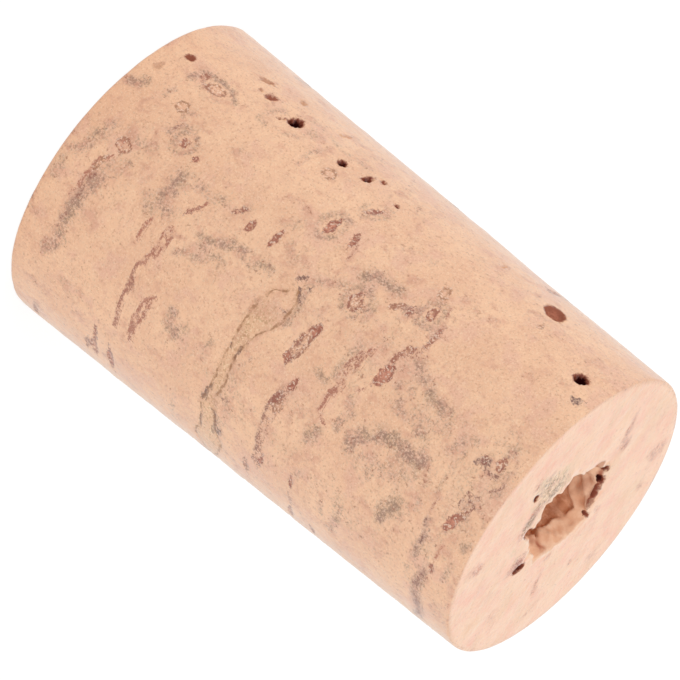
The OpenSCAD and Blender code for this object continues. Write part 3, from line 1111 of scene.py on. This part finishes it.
# %% [markdown]
# ### The ground
#
# Sanded cork is one peach colour at arm's length. Nearer, it drifts between
# peach and tan in patches a few millimetres wide, with duller and rosier spots
# on them. The two ends are cut across the layers, so they are creamier, with
# sandy bands along the grain and an olive part in front of the hole.

# %% The ground of the side
PEACH = paint(245, 198, 162)
TAN = paint(239, 190, 155)
DULL = paint(214, 166, 138)
ROSE = paint(231, 180, 156)

ground = blend(ease(specks(2.6, 3, 0.6), 0.40, 0.60), TAN, PEACH)
ground = lay(ground, ease(specks(0.7, 4, 0.75), 0.50, 0.78), DULL, 0.55)
rosy = ease(specks(1.7, 3, 0.6), 0.50, 0.66)
ground = lay(ground, rosy, ROSE, 0.60)
print(len(tree.nodes), "nodes with the ground of the side")

# %% The ground of the two ends
END_CREAM = paint(251, 206, 173)
END_ROSE = paint(248, 188, 160)
END_SAND = paint(240, 196, 158)
END_OLIVE = paint(231, 194, 155)

at_end = field_of("end")
olive = field_of("olive")
end_ground = blend(ease(specks(1.5, 3, 0.6), 0.38, 0.72), END_CREAM, END_ROSE)
sandy = ease(specks(1.2, 3, 0.6, stretched(0.4, 1, 1)), 0.44, 0.80)
end_ground = blend(sandy, end_ground, END_SAND)
olive_share = times(ease(plus(olive, rosy), 0.30, 0.90), ease(olive, 0.1, 0.4))
end_ground = blend(olive_share, end_ground, END_OLIVE)
ground = blend(at_end, ground, end_ground)
print(len(tree.nodes), "nodes with the ends")

# %% The speckle of cells
DARK_CELL = paint(200, 150, 122)
PALE_CELL = paint(255, 222, 190)

cells = specks(0.14, 2, 0.6)
fine_cells = specks(0.075, 1)
# The ends show half as much speckle as the side
side_look = minus(1.0, times(at_end, 0.5))
dark_cells = times(ease(cells, 0.50, 0.74), times(side_look, 0.55))
ground = blend(dark_cells, ground, DARK_CELL)
pale_cells = times(ease(fine_cells, 0.52, 0.70), times(side_look, 0.50))
ground = blend(pale_cells, ground, PALE_CELL)
print(len(tree.nodes), "nodes with the speckle")

# %% [markdown]
# ### Clouds and halos
#
# The grey clouds and the halos round the lenses are the same stuff: dark cells
# in loose specks. So both go through one pattern, in which the noise decides
# where specks fall and the field decides how many there are. A thin drift of
# them lies over the rest of the side too.

# %% How thick the clouds are
drift = ease(specks(1.6, 3, 0.65), 0.46, 0.70)
drift = times(drift, minus(times(side_look, 0.6), 0.25))
cloud_amount = calc("MAXIMUM", field_of("cloud"), times(field_of("halo"), 0.8))
cloud_amount = calc("MAXIMUM", cloud_amount, drift)
clump = ease(specks(0.50, 4, 0.7), 0.30, 0.68)
thick = times(cloud_amount, plus(times(clump, 0.90), 0.40))
olive_here = ease(olive, 0.2, 0.7)
print(len(tree.nodes), "nodes with the clouds' thickness")

# %% The haze and the grit of the clouds
HAZE_MAUVE = paint(204, 158, 138)
HAZE_BUFF = paint(198, 161, 132)
HAZE_RUST = paint(216, 122, 86)
HAZE_OLIVE = paint(178, 140, 92)
SIDE_GRIT = paint(140, 109, 94)
END_GRIT = paint(134, 66, 46)
OLIVE_GRIT = paint(100, 78, 54)

haze_colour = blend(ease(specks(1.1, 3, 0.6), 0.40, 0.60), HAZE_MAUVE, HAZE_BUFF)
haze_colour = blend(at_end, haze_colour, HAZE_RUST)
haze_colour = lay(haze_colour, olive_here, HAZE_OLIVE, 0.70)
ground = lay(ground, ease(thick, 0.02, 1.05), haze_colour, 0.90)
gritty = ease(plus(specks(0.15, 3, 0.8), times(thick, 0.24)), 0.54, 0.80)
gritty = times(gritty, times(ease(thick, 0.02, 0.45), 0.66))
grit_colour = blend(at_end, SIDE_GRIT, END_GRIT)
grit_colour = blend(olive_here, grit_colour, OLIVE_GRIT)
ground = blend(gritty, ground, grit_colour)
print(len(tree.nodes), "nodes with haze and grit")

# %% Blush, pepper, flakes and glints
BLUSH = paint(216, 160, 134)
PEPPER = paint(166, 112, 88)
FLAKE_GAP_SHADE = paint(132, 98, 66)
FLAKE_RIM_HIGHLIGHT = paint(255, 226, 196)
GLINT = paint(244, 208, 180)

blush = times(ease(specks(0.8, 4, 0.75), 0.50, 0.66), 0.50)
blush = times(blush, plus(ease(thick, 0.0, 0.3), 0.26))
ground = blend(blush, ground, BLUSH)
pepper = times(ease(specks(0.28, 3, 0.7), 0.60, 0.68), 0.70)
pepper = times(pepper, plus(ease(thick, 0.10, 0.35), 0.06))
ground = blend(times(pepper, side_look), ground, PEPPER)
# The olive part is flaky: dark gaps, which are painted shade, and pale rims
# that curl up, which are painted highlights
flake = specks(0.30, 4, 0.75)
ground = lay(ground, times(olive_here, ease(flake, 0.53, 0.62)), FLAKE_GAP_SHADE, 0.60)
ground = lay(ground, times(olive_here, ease(flake, 0.47, 0.40)), FLAKE_RIM_HIGHLIGHT, 0.60)
glints = times(ease(specks(0.11, 2, 0.6), 0.50, 0.66), ease(thick, 0.05, 0.5))
ground = lay(ground, glints, GLINT, 0.55)
print(len(tree.nodes), "nodes with the clouds")

# %% [markdown]
# ### Streaks and cracks
#
# A loose streak is a stain of rust with darker grit in it, broken here and
# there. Noise is added to its signed distance, so it wanders from its line.

# %% The loose streaks
STREAK_RUST = paint(176, 108, 86)
STREAK_DARK = paint(104, 76, 70)
STREAK_GREY = paint(188, 150, 132)
STREAK_SHINE = paint(246, 210, 186)

how_dark = field_of("streak_dark")
off_middle = calc("ABSOLUTE", plus(field_of("streak_gap"), jitter(0.30, 0.28)))
off_middle = calc("DIVIDE", off_middle, field_of("streak_half"))
breaks = plus(times(ease(specks(0.55, 3, 0.7), 0.36, 0.60), 0.75), 0.35)
breaks = calc("MAXIMUM", breaks, ease(how_dark, 0.7, 0.9))
streak_here = times(times(ease(off_middle, 2.1, 0.1), field_of("streak")), breaks)
streak_tint = blend(how_dark, BLUSH, STREAK_GREY)
ground = lay(ground, ease(streak_here, 0.0, 0.8), streak_tint, 0.60)
rust_grit = plus(specks(0.12, 3, 0.75), times(streak_here, 0.30))
rusty = times(ease(rust_grit, 0.62, 0.80), ease(streak_here, 0.12, 0.5))
ground = lay(ground, rusty, blend(how_dark, STREAK_RUST, STREAK_DARK), 0.80)
shine = times(ease(fine_cells, 0.54, 0.68), ease(streak_here, 0.1, 0.5))
ground = lay(ground, shine, STREAK_SHINE, 0.45)
print(len(tree.nodes), "nodes with the loose streaks")

# %% [markdown]
# The cork between the two cracks is yellower, with pale crumbs and olive pits
# in it. The crack itself is a hair line of changing width that breaks off in
# places, inside a soft brown fringe.

# %% The yellow cork between the cracks
YELLOW_CORK = paint(221, 176, 136)
PALE_CRUMB = paint(247, 214, 178)
OLIVE_PIT = paint(176, 136, 96)

middle = field_of("between")
ground = lay(ground, middle, YELLOW_CORK, 0.40)
ground = lay(ground, times(ease(specks(0.13, 1), 0.56, 0.66), middle), PALE_CRUMB, 0.70)
ground = lay(ground, times(ease(specks(0.15, 1), 0.45, 0.36), middle), OLIVE_PIT, 0.50)
print(len(tree.nodes), "nodes with the yellow cork")

# %% The two cracks
CRACK_FRINGE = paint(188, 138, 102)
CRACK_BROWN = paint(146, 97, 58)

wander = jitter(0.40, 0.34, 4)
off_line = calc(
    "MINIMUM",
    calc("ABSOLUTE", plus(field_of("upper_crack"), wander)),
    calc("ABSOLUTE", plus(field_of("lower_crack"), wander)),
)
fringe = times(ease(off_line, 0.32, 0.02), ease(specks(0.22, 3, 0.7), 0.42, 0.62))
ground = lay(ground, fringe, CRACK_FRINGE, 0.45)
# Half the width of the hair line, in millimetres
pinch = plus(times(ease(specks(0.60, 2, 0.6), 0.35, 0.70), 0.085), 0.03)
cracks = ease(calc("DIVIDE", off_line, pinch), 1.25, 0.4)
cracks = times(cracks, ease(specks(0.30, 3, 0.7), 0.36, 0.60))
ground = lay(ground, cracks, CRACK_BROWN, 0.66)
print(len(tree.nodes), "nodes with the cracks")

# %% [markdown]
# ### Lenses
#
# A lens is drawn from its one field. Just inside the edge lies a dark outline,
# and further in comes crumb, solid or mottled, by how full the lens is. Noise
# is added to the field first, so that no edge is a clean oval.

# %% Where a lens has its crumb
lens_edge = plus(field_of("lens"), jitter(0.24, 0.50))
body = ease(lens_edge, -0.07, 0.0)
outline = times(body, ease(lens_edge, 0.20, 0.04))
mottle = plus(plus(field_of("lens_fill"), jitter(0.14, 1.8, 2)), jitter(0.50, 1.2, 2, 0.6))
crumb_share = times(body, ease(mottle, 0.30, 0.80))
print(len(tree.nodes), "nodes with the lenses' shapes")

# %% The colours of a lens
LENS_SKIN = paint(218, 162, 134)
LENS_RED = paint(208, 136, 112)
LENS_RUST = paint(176, 102, 82)
LENS_GREY = paint(150, 118, 108)
LENS_RIM = paint(150, 90, 72)
RING_TAN = paint(162, 114, 84)
LENS_DOT = paint(104, 60, 52)
# Pale pink of the painted highlights on a lens
LENS_HIGHLIGHT_FLECK = paint(246, 212, 188)

crumb_colour = blend(ease(specks(0.20, 3, 0.7), 0.42, 0.60), LENS_RED, LENS_RUST)
crumb_colour = blend(field_of("lens_grey"), crumb_colour, LENS_GREY)
ground = lay(ground, body, LENS_SKIN, 0.35)
ground = lay(ground, crumb_share, crumb_colour, 0.80)
ragged_rim = times(outline, ease(specks(0.25), 0.34, 0.50))
rim_colour = blend(ease(field_of("lens_fill"), 0.1, 0.5), RING_TAN, LENS_RIM)
ground = lay(ground, ragged_rim, rim_colour, 0.75)
dots = times(crumb_share, ease(specks(0.12, 1), 0.56, 0.66))
ground = lay(ground, dots, LENS_DOT, 0.70)
# Pale flecks over a lens are painted highlights
highlight_flecks = times(body, ease(specks(0.12, 1, warp=0.4), 0.54, 0.66))
ground = lay(ground, highlight_flecks, LENS_HIGHLIGHT_FLECK, 0.70)
print(len(tree.nodes), "nodes with the lenses")

# %% [markdown]
# ### The hole and the pores
#
# Inside the bore the cork is freshly torn, so it is paler than it looks from
# outside: the hole itself makes it dark. The torn slope is the palest, and its
# tone goes paler and tanner along the leaning fibres, which paints their
# shading. The drilled wall below it is browner and blotched, with blots that are
# long down the hole, and its browner colour also paints the shade deeper in the
# hole.

# %% The bore
TORN_TAN = paint(234, 182, 148)
TORN_PALE = paint(254, 214, 182)
# The drilled wall's brown also paints the shade deeper in the hole
DRILLED_SHADE_BROWN = paint(222, 158, 120)
DRILLED_PALE = paint(252, 202, 166)
# Red-brown for the smeared crumb and for the painted shade in the mouth
STAIN_AND_SHADE_RED = paint(170, 94, 70)
LIP_PALE = paint(252, 218, 188)

# The torn slope's tone follows its leaning fibres and paints their shading
torn_shading = plus(field_of("fibre"), jitter(0.35, 1.0, 4))
torn_tan = blend(ease(torn_shading, 0.1, 0.9), TORN_TAN, TORN_PALE)
blots = specks(0.45, 4, 0.75, stretched(1, 1, 0.5))
drilled_tan = blend(ease(blots, 0.36, 0.64), DRILLED_SHADE_BROWN, DRILLED_PALE)
bore_tan = blend(field_of("drilled"), torn_tan, drilled_tan)
ground = blend(field_of("bore"), ground, bore_tan)
# Smeared crumb on the slope, and painted shade on the walls below it
stain_and_shade_here = plus(field_of("stain_and_shade"), jitter(0.3, 0.5, 3, 0.6))
ground = lay(ground, ease(stain_and_shade_here, 0.15, 0.95), STAIN_AND_SHADE_RED, 0.80)
ground = lay(ground, field_of("lip"), LIP_PALE, 0.50)
print(len(tree.nodes), "nodes with the bore")

# %% [markdown]
# A round pore has a brown skin at its edge and goes nearly black inside: the
# black is painted shade, standing in for the shade deep down the pore. Where a
# plug of crumb still stops it, the middle is lighter and mottled instead. How
# dark a pore is decides which of these it shows.

# %% The pores
PORE_SKIN = paint(144, 78, 60)
PORE_CRUMB = paint(206, 132, 106)
# Painted shade: the near-black deep inside a pore
PORE_SHADE_BLACK = paint(42, 8, 10)

pore_edge = plus(field_of("pore"), jitter(0.25, 0.34, 4))
darkness = field_of("pore_dark")
pore_skin = times(ease(pore_edge, -0.08, 0.04), ease(darkness, 0.0, 0.78))
pore_shade_heart = times(ease(pore_edge, -0.01, 0.16), ease(darkness, 0.6, 0.95))
pore_plug = times(ease(pore_edge, 0.10, 0.32), ease(darkness, 0.85, 0.5))
pore_plug = times(pore_plug, ease(specks(0.30, 4, 0.75), 0.40, 0.58))
ground = blend(pore_skin, ground, PORE_SKIN)
ground = lay(ground, pore_plug, PORE_CRUMB, 0.75)
# The black heart is painted shade deep in the pore
ground = blend(pore_shade_heart, ground, PORE_SHADE_BLACK)
print(len(tree.nodes), "nodes with the pores")

# %% [markdown]
# ### Gloss and relief
#
# Cork hardly shines. What light it throws back comes from a velvet of cut
# cells, which the shader's sheen gives. The grain of the cells is far too fine
# for the mesh, so bump tilts the surface by it instead, and the cracks and the
# crumb lie a little lower.

# %% The relief and the shader
RELIEF_STRENGTH = 0.6
RELIEF_HEIGHT = 0.05

relief = plus(times(cells, 0.7), specks(0.3, 3))
relief = minus(relief, times(cracks, 0.5))
relief = minus(relief, times(crumb_share, 0.5))
bump = add_node("Bump", {
    "Strength": RELIEF_STRENGTH, "Distance": RELIEF_HEIGHT * MM, "Height": relief,
})
shader = add_node("BsdfPrincipled", {
    "Base Color": ground, "Roughness": ease(cells, 1.6, -1.0),
    "Normal": bump.outputs["Normal"], "Specular IOR Level": 0.25,
    "Sheen Weight": 0.55, "Sheen Roughness": 0.35,
})
add_node("OutputMaterial", {"Surface": shader.outputs["BSDF"]})
mesh.materials.append(finish_material)
print(f"The finish has {len(tree.nodes)} nodes")

# %% [markdown]
# Only the outside was sanded, so the hole and the pores wear a copy of the
# finish with no sheen and no gloss. With them a deep wall would look grey when
# it is seen at a flat angle.

# %% The finish inside the hole and the pores
bore_material = finish_material.copy()
bore_material.name = "torn cork"
for node in bore_material.node_tree.nodes:
    if node.bl_idname == "ShaderNodeBsdfPrincipled":
        node.inputs["Sheen Weight"].default_value = 0.0
        node.inputs["Specular IOR Level"].default_value = 0.0
mesh.materials.append(bore_material)
unsanded = in_hole | (pore_field > 0)
mesh.polygons.foreach_set("material_index", unsanded.ravel().astype(np.int32))
print(f"{unsanded.sum()} cells lie inside the hole or a pore")

# %% [markdown]
# The cork is one piece that stands still, so it rides on the root. It takes the
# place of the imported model's only node, and wears the finish called natural
# cork.

# %% Hand the cork to the frame
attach(cork, "root")
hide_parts("head_cork")
print(f"{cork.name} has {len(mesh.vertices)} points")

# %% [markdown]
# ## The studio
#
# The plug stands on its wide end on a white sweep in soft, even light. The
# floor shows white by its own light to the camera, and keeps a faint shadow,
# because part of its colour still comes from the lamps.

# %% The floor
FLOOR_HALF = 3.0
floor_mesh = bpy.data.meshes.new("floor")
floor_mesh.from_pydata([
    (-FLOOR_HALF, -FLOOR_HALF, 0), (FLOOR_HALF, -FLOOR_HALF, 0),
    (FLOOR_HALF, FLOOR_HALF, 0), (-FLOOR_HALF, FLOOR_HALF, 0),
], [], [(0, 1, 2, 3)])
floor = bpy.data.objects.new("floor", floor_mesh)
bpy.context.collection.objects.link(floor)
print(f"The floor is {2 * FLOOR_HALF:.0f} m wide")

# %% The floor's finish
# The sheet as it lights the plug, and as the camera sees it
SHEET_WHITE = (0.82, 0.82, 0.82, 1)
SHADOW_GREY = (0.30, 0.30, 0.30, 1)
GLOW = 0.78

floor_material = bpy.data.materials.new("white sweep")
tree = start_tree(floor_material)
ray = add_node("LightPath", {}).outputs
seen = calc("MAXIMUM", ray["Is Camera Ray"], ray["Is Glossy Ray"])
seen = calc("MAXIMUM", seen, ray["Is Transmission Ray"])
plain_sheet = add_node("BsdfDiffuse", {"Color": SHEET_WHITE})
shadow_sheet = add_node("BsdfDiffuse", {"Color": SHADOW_GREY})
glow = add_node("Emission", {"Strength": GLOW})
seen_sheet = add_node("AddShader", {0: shadow_sheet.outputs[0], 1: glow.outputs[0]})
either = add_node("MixShader", {0: seen, 1: plain_sheet.outputs[0], 2: seen_sheet.outputs[0]})
add_node("OutputMaterial", {"Surface": either.outputs[0]})
floor_mesh.materials.append(floor_material)
print(f"The floor's finish has {len(tree.nodes)} nodes")

# %% [markdown]
# The light is like that of a white room: an even sky from all sides, and four
# large soft lamps. One lamp alone would leave a side of the plug too dark.

# %% The world and the lamps
SKY_LIGHT = 1.0
world = bpy.data.worlds.new("studio")
bpy.context.scene.world = world
tree = start_tree(world)
sky = add_node("Background", {"Strength": SKY_LIGHT})
add_node("OutputWorld", {"Surface": sky.outputs[0]})


def lamp(name, place_at, power, size):
    """A square soft lamp that shines at the middle of the plug."""
    data = bpy.data.lights.new(name, "AREA")
    data.energy = power
    data.size = size
    light = bpy.data.objects.new(name, data)
    light.location = place_at
    aim = Vector((0, 0, LENGTH / 2 * MM)) - light.location
    light.rotation_euler = aim.to_track_quat("-Z", "Y").to_euler()
    bpy.context.collection.objects.link(light)


# Name, place in metres, power in watts, width in metres
lamp("key lamp", (-0.20, -0.32, 0.40), 0.40, 0.25)
lamp("right lamp", (0.40, -0.12, 0.14), 0.32, 0.30)
lamp("left lamp", (-0.42, -0.08, 0.12), 0.31, 0.30)
lamp("back lamp", (0.0, 0.45, 0.06), 0.20, 0.30)
bpy.context.scene.view_settings.view_transform = "Standard"
print(f"{len(bpy.data.lights)} lamps")

# %% [markdown]
# ## The camera
#
# A long lens looks down a little on the plug, from a hand held far over on its
# side, so the plug seems to lie across the view. The camera's place, the
# point it looks at and its roll are real sizes in the plug's own frame.

# %% Place the camera
# Places in millimetres
CAMERA_AT = Vector((0.0, -286.86, 129.88)) * MM
AIM_AT = Vector((0.198, -0.087, 14.784)) * MM
# Degrees that the camera leans over
ROLL = -129.12
# Focal length and width of the sensor, in millimetres
FOCAL_LENGTH = 323.94
SENSOR = 36.0

camera_data = bpy.data.cameras.new("camera")
camera_data.lens = FOCAL_LENGTH
camera_data.sensor_width = SENSOR
camera_data.clip_start = 0.01
camera_data.clip_end = 20.0
camera = bpy.data.objects.new("camera", camera_data)
bpy.context.collection.objects.link(camera)
level_view = (AIM_AT - CAMERA_AT).to_track_quat("-Z", "Y").to_matrix()
rolled = level_view @ Matrix.Rotation(np.radians(-ROLL), 3, "Z")
camera.rotation_euler = rolled.to_euler()
camera.location = CAMERA_AT
bpy.context.scene.camera = camera
print(f"The camera is {(AIM_AT - CAMERA_AT).length / MM:.0f} mm away")
